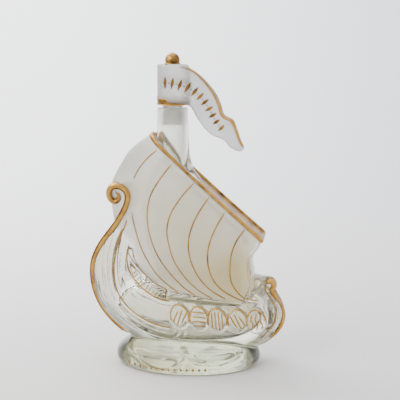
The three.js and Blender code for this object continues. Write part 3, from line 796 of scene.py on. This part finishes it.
def gold_material(name, wear=0.5, bright=1.0, scale=90):
    m = bpy.data.materials.new(name)
    nt, N, L, b = nodes_of(m)
    tc = add_node(nt, "ShaderNodeTexCoord")
    big = noise(nt, scale, 6, 0.65, tc.outputs["Object"])
    fine = noise(nt, 600, 4, 0.6, tc.outputs["Object"])
    s = bright
    col = ramp(nt, big.outputs["Fac"], [(0.30, (0.085 * s, 0.04 * s, 0.014 * s)), (0.30 + 0.2 * wear, (0.36 * s, 0.18 * s, 0.04 * s)), (0.55, (0.53 * s, 0.29 * s, 0.062 * s)), (0.8, (0.66 * s, 0.40 * s, 0.115 * s))])
    L.new(col.outputs["Color"], b.inputs["Base Color"])
    b.inputs["Metallic"].default_value = 0.82
    ro = ramp(nt, fine.outputs["Fac"], [(0.3, (0.24, 0.24, 0.24)), (0.7, (0.42, 0.42, 0.42))])
    L.new(ro.outputs["Color"], b.inputs["Roughness"])
    bump(nt, fine.outputs["Fac"], b, 0.25, 0.0003)
    return m


def plastic_material(name):
    m = bpy.data.materials.new(name)
    nt, N, L, b = nodes_of(m)
    tc = add_node(nt, "ShaderNodeTexCoord")
    n1 = noise(nt, 120, 3, 0.5, tc.outputs["Object"])
    col = ramp(nt, n1.outputs["Fac"], [(0.3, (0.93, 0.93, 0.90)), (0.7, (0.96, 0.96, 0.94))])
    L.new(col.outputs["Color"], b.inputs["Base Color"])
    b.inputs["Roughness"].default_value = 0.28
    b.inputs["Transmission Weight"].default_value = 0.8
    b.inputs["IOR"].default_value = 1.46
    bump(nt, n1.outputs["Fac"], b, 0.2, 0.0003)
    return m


GLASS = glass_material("decanter_glass", [(0.79, 0.75, 0.635), (0.855, 0.825, 0.73), (0.92, 0.90, 0.83)], 0.46)
PENNANT_GLASS = glass_material("pennant_glass", [(0.60, 0.58, 0.565), (0.675, 0.655, 0.64), (0.75, 0.73, 0.715)], 0.68)
GOLD = gold_material("gilding_fired", 0.35, 1.0)
GOLD_LINE = gold_material("gilding_line", 0.7, 0.82, 46)
GOLD_WORN = gold_material("gilding_worn", 0.9, 0.8)
# a darker copy of the gilding: the collar band's own darker tone, and painted shade along the prow scroll's edges
GOLD_DARK_TONE_AND_SHADE = gold_material("gilding_dark_tone_and_shade", 1.0, 0.5)
GOLD_BROWN = gold_material("gilding_brown", 1.0, 0.6)
GOLD_KNOB = gold_material("gilding_knob", 0.85, 0.66, 140)
PLASTIC = plastic_material("sleeve_soft_plastic")


def put_attr(ob, name, values):
    a = ob.data.attributes.new(name, 'FLOAT', 'POINT')
    a.data.foreach_set("value", np.asarray(values, np.float32))


bottle = mesh_object("bottle_glass_shell", P, Q, [GLASS], "bottle")
put_attr(bottle, "frost", frost)
# warm tint by position over the leech, prow, foot and neck, with patches on the sail's middle and lower part; these
# patches and the foot's share are painted shade as well as tint
warm_tint_and_shade = 0.95 * np.exp(-(((P[:, 0] - 50) / 24) ** 2 + ((P[:, 2] - 86) / 26) ** 2)) + 0.35 * np.exp(-(((P[:, 0] + 82) / 14) ** 2 + ((P[:, 2] - 92) / 34) ** 2)) + 0.62 * smooth(30, 18, P[:, 2]) * smooth(60, -50, P[:, 0]) + 0.14 * smooth(230, 170, P[:, 2])
put_attr(bottle, "warm_tint_and_shade", np.clip(warm_tint_and_shade + 0.34 * np.exp(-(((P[:, 0] - 4) / 34) ** 2 + ((P[:, 2] - 122) / 34) ** 2)) + 0.42 * np.exp(-(((P[:, 0] - 14) / 34) ** 2 + ((P[:, 2] - 86) / 20) ** 2)), 0, 1))
# darker and greener towards the bottom, most on the foot and its left end: partly glass tint, partly painted shade
put_attr(bottle, "green_tint_and_shade", np.clip(0.82 * smooth(32, 22, P[:, 2]) + 0.34 * smooth(70, 44, P[:, 2]) * (1 - is_in) + 0.22 * smooth(30, -70, P[:, 0]) * smooth(32, 22, P[:, 2]) + 0.06, 0, 1))
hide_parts("bottle_glass")


# ---------------------------------------------------------------- gold lines on the bottle, both sides
def line_on(xz, n, r=0.5, side=-1, lift=-0.1, fn=outside, sides=8, flat=0.7, keep=None):
    C = catmull(xz, n)
    S, g = on_surface(C, side, lift, fn)
    k = np.ones(len(S), bool)
    if keep is not None:
        k = keep(S, g)
    S, g = S[k], g[k]
    if len(S) < 4:
        return None
    for c in range(3):                                   # an even hand along the line
        S[1:-1, c] = 0.25 * S[:-2, c] + 0.5 * S[1:-1, c] + 0.25 * S[2:, c]
    tp = taper(len(S), 3, 3)
    return sweep(S, r * tp, r * flat * tp, g, sides)


NP_ = 64
SEAMS = [
    [(-25.3, 202.4), (-33.5, 195), (-39.5, 188.2), (-44.2, 181.5), (-47.5, 175)],
    [(-50.2, 143), (-48.4, 132.6), (-43.6, 114.9), (-36.7, 100), (-26.1, 84.9), (-14.5, 74.9), (-6.5, 70)],
    [(-12.3, 189.5), (-22.9, 175.4), (-30.9, 161.4), (-34.5, 145.4), (-33.7, 127.7), (-28.6, 110), (-21.7, 97.6), (-10.3, 83.6), (.4, 73.7), (11.9, 67.8)],
    [(7.9, 172.6), (.5, 164.8), (-7.4, 154), (-13.5, 142.5), (-16.3, 128.2), (-14.5, 115.8), (-10.2, 100.8), (-3.3, 89.3), (3.9, 80.9), (13.4, 73.1), (26, 67)],
    [(21.7, 160.5), (14.5, 149.5), (8.7, 138.5), (4.3, 125.1), (3.4, 115.4), (5.1, 103.9), (8.7, 94.1), (14.4, 84.4), (24, 75), (38, 67)],
    [(35.9, 147), (27.8, 132), (22.6, 118.6), (20.9, 107.9), (21.8, 96.3), (26.2, 84.8), (34, 76), (46, 69), (56, 65)],
    [(54.1, 131.8), (46.9, 121.1), (42.6, 109.5), (41.3, 99.6), (42, 85.1), (46.2, 76.9), (51.9, 70.5), (60.8, 66.0), (67, 64.6)],
]
parts_l = []
for side in (-1, 1):
    for sm in SEAMS:
        parts_l.append(line_on(sm, NP_, 0.72, side))
sail_seams = plain_object("sail_seam_lines", *join([p for p in parts_l if p]), [GOLD_LINE], "bottle", "gilding")

parts_l = []
for side in (-1, 1):
    parts_l.append(line_on(GUNWALE[:7], NP_, 0.8, side, 0.0))
    parts_l.append(line_on(STRAKE + [(-10.5, 42.2)], NP_, 0.78, side, 0.0))
    parts_l.append(line_on([(71.8, 76.9), (73, 71.2), (76.1, 66.7), (79.1, 62.6), (81.7, 58.1), (82.3, 53.9), (81.9, 48.7), (79.4, 40.3), (74.5, 33.9), (69.5, 28.4)], NP_, 0.7, side, 0.0))
    parts_l.append(line_on(CRESCENT, NP_, 0.62, side))
    gc, cc = catmull(GUNWALE[:7], 40), catmull(CRESCENT, 40)
    for i in range(11):
        u = 0.34 + 0.056 * i
        a, b_ = gc[int(u * 39)], cc[int(min(u * 1.02, 0.98) * 39)]
        parts_l.append(line_on([a + (b_ - a) * 0.1, a + (b_ - a) * 0.35, a + (b_ - a) * 0.62], 8, 0.4, side))
hull_lines = plain_object("hull_trim_lines", *join([p for p in parts_l if p]), [GOLD_LINE], "bottle", "gilding")

parts_l = []
for side in (-1, 1):
    for k, (cx, cz) in enumerate(SHIELDS):
        sl = math.radians(-4.6)

        def at(u, v):
            return (cx + u * SHIELD_A * math.cos(sl) + v * SHIELD_B * math.sin(sl) * -1 * -1, cz + v * SHIELD_B * math.cos(sl) - u * SHIELD_A * math.sin(sl) * -1)
        ring = [at(0.93 * math.cos(a), 0.93 * math.sin(a)) for a in np.linspace(math.radians(-22), math.radians(202), 40)]
        parts_l.append(line_on(ring, NP_, 0.9, side, 0.1))
        if k in (0, 3):
            sg = 1 if k == 0 else -1
            for c0 in (-0.42, 0.02, 0.46):
                parts_l.append(line_on([at(c0 - 0.3 * sg, -0.62 + abs(c0) * 0.4), at(c0, 0), at(c0 + 0.3 * sg, 0.62 - abs(c0) * 0.4)], 14, 0.7, side, 0.1))
        elif k == 1:
            for c0 in (-0.55, -0.2, 0.15, 0.5):
                w_ = 0.72 * math.sqrt(1 - c0 * c0)
                parts_l.append(line_on([at(-w_, c0), at(0, c0 + 0.04), at(w_, c0)], 14, 0.7, side, 0.1))
        elif k == 2:
            for c0 in (-0.5, -0.17, 0.17, 0.5):
                w_ = 0.74 * math.sqrt(1 - c0 * c0)
                parts_l.append(line_on([at(c0, -w_), at(c0, 0), at(c0, w_)], 14, 0.7, side, 0.1))
        else:
            for c0 in (-0.45, 0.0, 0.45):
                w_ = 0.72 * math.sqrt(1 - c0 * c0)
                parts_l.append(line_on([at(c0 - 0.08, -w_), at(c0 + 0.1, -w_ * 0.4), at(c0 - 0.08, w_ * 0.25), at(c0 + 0.08, w_)], 16, 0.7, side, 0.1))
shield_lines = plain_object("shield_rims_and_charges", *join([p for p in parts_l if p]), [GOLD], "bottle", "gilding")

# worn row of small gilt lozenges on the foot's rim, front and back
rng = np.random.default_rng(7)
dashes = []
for sgn in (-1, 1):
    for i in range(27):
        xd = -50.0 + 2.75 * i
        big_ = i % 2 == 0
        hw_, hh_ = (1.25, 1.9) if big_ else (0.55, 0.6)
        tt = np.linspace(-1, 1, 9)
        xx = xd + hw_ * tt
        S_, g_ = on_surface(np.stack([xx, 0 * xx + 6.3], 1), sgn, 0.04, outside, 50.0)
        wdt = hh_ * np.clip(1 - np.abs(tt), 0.06, 1) ** 0.9
        dashes.append(sweep(S_, wdt, 0.22 * np.clip(1 - tt ** 4, 0.15, 1), g_, 10))
foot_line = plain_object("foot_gilt_lozenges", *join(dashes), [GOLD_WORN], "bottle", "gilding")

# ---------------------------------------------------------------- prow and stern scrolls
n_ = 200
C = catmull([(-66.6, 158.5), (-65.2, 159.4)] + PROW, n_)
u = np.linspace(0, 1, n_)
ina = np.interp(u, [0, .02, .05, .12, .3, .5, .75, 1], [1.7, 2.1, 2.6, 3.05, 2.9, 2.7, 2.3, 1.8])
acr = np.interp(u, [0, .05, .2, .4, .6, .8, 1], [6.2, 6.8, 7.2, 6.4, 5.0, 4.2, 3.4])
tp = taper(n_, 4, 7)
prow = plain_object("prow_scroll", *sweep(np.stack([C[:, 0], 0 * u, C[:, 1]], 1), ina * tp, acr * tp, (0, 1, 0), 24, 2.6), [GOLD], "bottle", "gilding")
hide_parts("prow_scroll_gilding")
# painted shade: thin tubes of darker gilding along the prow scroll's outer edge on both faces, where the rounded band
# turns away from the light
Tn = np.gradient(C, axis=0)
Tn /= np.linalg.norm(Tn, axis=1)[:, None]
Nn_ = np.stack([-Tn[:, 1], Tn[:, 0]], 1)
if Nn_[int(n_ * 0.75), 0] > 0:
    Nn_ = -Nn_
prow_shade_lines_ = []
for side in (-1, 1):
    e_ = C + Nn_ * (ina * tp * 0.86)[:, None]
    prow_shade_lines_.append(sweep(np.stack([e_[6:-6, 0], side * (acr * tp)[6:-6] * 0.86, e_[6:-6, 1]], 1), 0.5, 0.5, (0, 1, 0), 8))
prow_shade_edges = plain_object("prow_scroll_painted_shade_edges", *join(prow_shade_lines_), [GOLD_DARK_TONE_AND_SHADE], "bottle", "gilding")
n_ = 150
C = catmull(STERN, n_)
u = np.linspace(0, 1, n_)
ina = np.interp(u, [0, .1, .3, .4, .7, 1], [2.6, 2.9, 2.5, 2.0, 1.8, 1.6])
acr = np.interp(u, [0, .1, .3, .5, .8, 1], [6.0, 6.4, 5.8, 4.8, 4.0, 3.2])
tp = taper(n_, 6, 6)
stern = plain_object("stern_scroll", *sweep(np.stack([C[:, 0], 0 * u, C[:, 1]], 1), ina * tp, acr * tp, (0, 1, 0), 22, 2.6), [GOLD], "bottle", "gilding")
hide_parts("stern_scroll_gilding")


# ---------------------------------------------------------------- the gilded yard face with its raised rims
def yard(x, y, z):
    px, pz = x - YA[0], z - YA[1]
    s = px * YE[0] + pz * YE[1]
    q = px * YN[0] + pz * YN[1] - 1.2 * np.sin(math.pi * np.clip(s / YLEN, 0, 1))
    hw_ = 18.2
    a = np.maximum(s - YLEN + 0.8, 0)
    b = np.maximum(17.6 - s, 0)
    foot_ = np.where(b > 0, np.sqrt(b * b + y * y) - hw_, np.abs(y) - hw_)
    foot_ = np.maximum(foot_, s - YLEN - 0.6)
    plate = smax(foot_, np.maximum(-1.3 - q, q - 1.9), 0.7)
    pocket = smax(foot_ + 2.2, q + 0.35, 0.5)
    plate = smax(plate, -pocket, 0.4)
    rho = np.sqrt((x - NECK_X) ** 2 + y * y)
    return smax(plate, -(rho - np.interp(z, nz_, nrr) + 0.4), 0.5)


YP, YQ = implicit("yard", yard, (-40, 0, 110), (76, 22, 222), 0.8, 3, symmetric=True)
v0, v1, v2 = YP[YQ[:, 0]], YP[YQ[:, 1]], YP[YQ[:, 2]]
if np.einsum('ij,ij->i', v0, np.cross(v1, v2)).sum() < 0:
    YQ = YQ[:, ::-1]
yard_ob = mesh_object("yard_face_and_rims", YP, YQ, [GOLD_WORN], "bottle")
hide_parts("yard_rim_gilding")

# the rounded bead along the yard's rim: down one side, round the fore end, up the other
def yard_path(n):
    s1 = np.linspace(YLEN - 0.6, 17.6, n)
    a = np.linspace(0, math.pi, n // 2)[1:-1]
    S_ = np.r_[s1, 17.6 - 17.3 * np.sin(a), s1[::-1]]
    Y_ = np.r_[np.full(n, -17.3), -17.3 * np.cos(a), np.full(n, 17.3)]
    q = 1.2 * np.sin(math.pi * np.clip(S_ / YLEN, 0, 1)) - 0.75
    return np.stack([YA[0] + S_ * YE[0] + q * YN[0], Y_, YA[1] + S_ * YE[1] + q * YN[1]], 1)


yp = yard_path(90)
tp = taper(len(yp), 2, 2)
bead = plain_object("yard_rim_bead", *sweep(yp, 1.05 * tp, 1.3 * tp, (YN[0], 0.0001, YN[1]), 16), [GOLD], "bottle", "gilding")

# ---------------------------------------------------------------- the stopper
PEN_SIDE = [(-30, 277.2), (-6.8, 276.9), (2.5, 274), (11.8, 267.4), (20.1, 259.2), (26.4, 251), (30.5, 241.8), (33.6, 233.6), (42, 228.6), (45.2, 221.4), (48.3, 212), (52.0, 203.4), (50.2, 200.6), (46.2, 200.4), (39, 203.6), (33.7, 209.8), (22.3, 214.2), (16, 219.4), (8.4, 229.6), (3.6, 238.6), (-1.4, 244), (-30, 248)]
PEN_PLAN = [(-.6, -11.8), (7, -9.6), (12, -4.6), (17, -.4), (24, 1.6), (33, .6), (43, -2.4), (53, -4.2), (62, -3.4), (70, -1)]
pp = catmull([(p[0] + NECK_X, p[1]) for p in PEN_PLAN], 200)
side_poly = np.vstack([catmull(PEN_SIDE[1:12], 90), catmull(PEN_SIDE[11:15], 24)[1:], catmull(PEN_SIDE[14:21], 40)[1:], [PEN_SIDE[-1]], [PEN_SIDE[0]]])
pl2 = Plane2(-40, 62, 192, 286, 0.5)
pl2.put("sp", blur(sdf2(pl2.P, side_poly).reshape(pl2.nx, pl2.nz), 1.2))


def pen_y(x):
    return np.interp(x, pp[:, 0], pp[:, 1])


def pen_slope(x):
    return (pen_y(x + 0.6) - pen_y(x - 0.6)) / 1.2


def pennant(x, y, z):
    sp = pl2.at(x, z)["sp"]
    k = 1 / np.sqrt(1 + pen_slope(x) ** 2)
    ripple = 0.5 * np.sin((x * 0.75 + z * 0.66) / 5.2) * smooth(-8, 8, x)
    sheet = smax((np.abs(y - pen_y(x) - ripple) - 2.3 / np.maximum(k, 0.45)) * k, sp, 1.8)
    sheet = smax(sheet, NECK_X - 1 - x, 1.0)
    rho = np.sqrt((x - NECK_X) ** 2 + y * y)
    low = 248.1 - (x + 40) * 7.1 / 56
    head = smax(smax(rho - 13.7, z - 277.2, 1.5), low - z, 0.6)
    peg = smax(rho - np.interp(z, [225, 227, 238, 243], [5.9, 6.3, 6.6, 6.6]), 226.0 - z, 1.0)
    peg = np.maximum(peg, z - 262)
    core = smax(rho - 12.4, 241.9 - z, 0.5)
    core = np.maximum(core, z - 262)
    return np.minimum(smin(head, sheet, 4.0), np.minimum(peg, core))


PP, PQ = implicit("pennant", pennant, (-31, -18, 196), (56, 18, 281), 0.9, 3)
PP = relax(PP, PQ, 2, pennant)
v0, v1, v2 = PP[PQ[:, 0]], PP[PQ[:, 1]], PP[PQ[:, 2]]
if np.einsum('ij,ij->i', v0, np.cross(v1, v2)).sum() < 0:
    PQ = PQ[:, ::-1]
pen = mesh_object("pennant_frosted", PP, PQ, [PENNANT_GLASS], "pennant")
put_attr(pen, "frost", 0.95 * smooth(241.0, 243.0, PP[:, 2] + np.where(PP[:, 0] > 2, 60, 0)))
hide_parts("pennant_head")

# gilt edge of the pennant
edge = catmull([(-5.5, 275.3), (2.3, 272.6), (11.0, 266.2), (19.0, 258.2), (25.2, 250), (29.2, 241.2), (32.2, 232.4), (40.6, 227.4), (43.9, 220.6), (47.0, 211.2), (50.6, 203.4)], 120)
ew = np.interp(np.linspace(0, 1, len(edge)), [0, 0.25, 0.5, 0.75, 1], [0.8, 1.05, 1.55, 1.65, 1.3])
ey = pen_y(edge[:, 0]) + 0.5 * np.sin((edge[:, 0] * 0.75 + edge[:, 1] * 0.66) / 5.2) * smooth(-8, 8, edge[:, 0])
en = np.stack([-pen_slope(edge[:, 0]), np.ones(len(edge)), np.zeros(len(edge))], 1)
tp = taper(len(edge), 5, 5)
pedge = plain_object("pennant_gilt_edge", *sweep(np.stack([edge[:, 0], ey, edge[:, 1]], 1), ew * tp, 2.85 * tp, en, 18, 2.6), [GOLD], "pennant", "gilding")
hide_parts("pennant_edge_gilding")

# a plain row of lozenges and beads along the pennant, on both faces
def pen_surface(xz, side):
    return on_surface(np.asarray(xz, float), side, 0.0, pennant, 17.5)


def lozenge(cx, cz, a, b, ang, side):
    rings = [(1.0, -0.15), (0.92, 0.28), (0.55, 0.42), (0.02, 0.5)]
    verts, faces = [], []
    n = 24
    xz = []
    for (k, _) in rings:
        for i in range(n):
            t_ = 2 * math.pi * i / n
            r_ = k / (abs(math.cos(t_)) ** 1.25 + abs(math.sin(t_)) ** 1.25) ** (1 / 1.25)
            du, dv = a * r_ * math.cos(t_), b * r_ * math.sin(t_)
            xz.append((cx + du * math.cos(ang) - dv * math.sin(ang), cz + du * math.sin(ang) + dv * math.cos(ang)))
    S, g = pen_surface(xz, side)
    for j, (k, h_) in enumerate(rings):
        for i in range(n):
            verts.append(S[j * n + i] + h_ * g[j * n + i])
    for j in range(len(rings) - 1):
        for i in range(n):
            i2 = (i + 1) % n
            f = (j * n + i, j * n + i2, (j + 1) * n + i2, (j + 1) * n + i)
            faces.append(f if side > 0 else f[::-1])
    top = tuple((len(rings) - 1) * n + i for i in range(n))
    bot = tuple(range(n))[::-1]
    faces += [top, bot] if side > 0 else [top[::-1], bot[::-1]]
    return np.array(verts), faces


mid = catmull([(-21.5, 262), (-12, 261.5), (-2, 258.5), (8, 252), (16, 243.5), (22, 234), (28, 224.5), (36, 216)], 200)
orn = []
for side in (-1, 1):
    for i in range(11):
        j = int(8 + i * 17.3)
        p_, d_ = mid[j], mid[min(j + 2, 199)] - mid[max(j - 2, 0)]
        ang = math.atan2(d_[1], d_[0])
        orn.append(lozenge(p_[0], p_[1], 1.55, 5.9 - 0.18 * i, ang, side))
        if i < 10:
            q_ = mid[min(j + 9, 199)]
            orn.append(lozenge(q_[0], q_[1], 0.7, 0.7, ang, side))
orn_ob = plain_object("pennant_ornament", *join(orn), [GOLD_BROWN], "pennant", "gilding", split=40)


# collar: a gilt band round the head's foot, its top edge slanting
def collar(x, y, z):
    rho = np.sqrt((x - NECK_X) ** 2 + y * y)
    low = 248.1 - (x + 40) * 7.1 / 56
    return smax(smax(np.abs(rho - 12.75) - 1.3, z - low - 1.5, 0.5), 241.5 - z, 0.5)


CP, CQ = implicit("collar", collar, (-29, 0, 240), (3, 15, 249), 0.45, 3, symmetric=True)
v0, v1, v2 = CP[CQ[:, 0]], CP[CQ[:, 1]], CP[CQ[:, 2]]
if np.einsum('ij,ij->i', v0, np.cross(v1, v2)).sum() < 0:
    CQ = CQ[:, ::-1]
col_ob = mesh_object("collar_band", CP, CQ, [GOLD_DARK_TONE_AND_SHADE], "pennant")
aa = np.linspace(0, 2 * math.pi, 97)
rings_ = []
for rr_, zf in ((14.15, lambda x: 248.1 - (x + 40) * 7.1 / 56 + 1.3), (14.1, lambda x: 0 * x + 241.9)):
    cx_ = NECK_X + rr_ * np.cos(aa)
    rings_.append(sweep(np.stack([cx_, rr_ * np.sin(aa), zf(cx_)], 1), 0.55, 0.45, np.stack([np.cos(aa), np.sin(aa), 0 * aa], 1), 10))
col_lines = plain_object("collar_gilt_lines", *join(rings_), [GOLD], "pennant", "gilding")
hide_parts("collar_gilding")

# finial: a small acorn
prof = catmull([(0.1, 277.3), (6.6, 277.3), (6.8, 277.8), (6.5, 278.5), (5.9, 278.9), (6.0, 279.5), (6.35, 280.3), (6.3, 281.6), (5.95, 283.2), (5.3, 284.7), (4.3, 286.0), (3.0, 286.9), (1.9, 287.3), (1.3, 287.7), (0.6, 287.95), (0.05, 288.0)], 80)
knob = plain_object("acorn_finial", *lathe([(r * 1.06, z_) for r, z_ in prof], 96, wobble=lambda a, z_, r: 0.13 * math.sin(16 * a + z_ * 2.2) * math.exp(-((z_ - 280.6) / 1.4) ** 2)), [GOLD_KNOB], "pennant", "gilding")
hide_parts("finial_knob")

# soft sleeve between the peg and the neck
outer_p = [(7.5, 224.0), (8.3, 224.2), (8.6, 225.2), (8.55, 226.4), (8.25, 227.0), (8.6, 227.8), (8.75, 229.0), (8.35, 229.8), (8.35, 230.6), (8.8, 231.6), (8.85, 232.6), (8.4, 233.4), (8.4, 234.4), (8.9, 235.4), (8.95, 237.0), (8.95, 239.2), (8.8, 240.4)]
ring = list(catmull(outer_p, 70)) + [(7.9, 240.6), (7.0, 240.5), (6.9, 239.8), (6.9, 232), (6.75, 225), (6.95, 224.1)]
sleeve = plain_object("sleeve_ribbed", *lathe([(float(r), float(z_)) for r, z_ in ring], 72, closed=True), [PLASTIC], "sleeve", "sleeve_plastic")
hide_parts("stopper_sleeve")
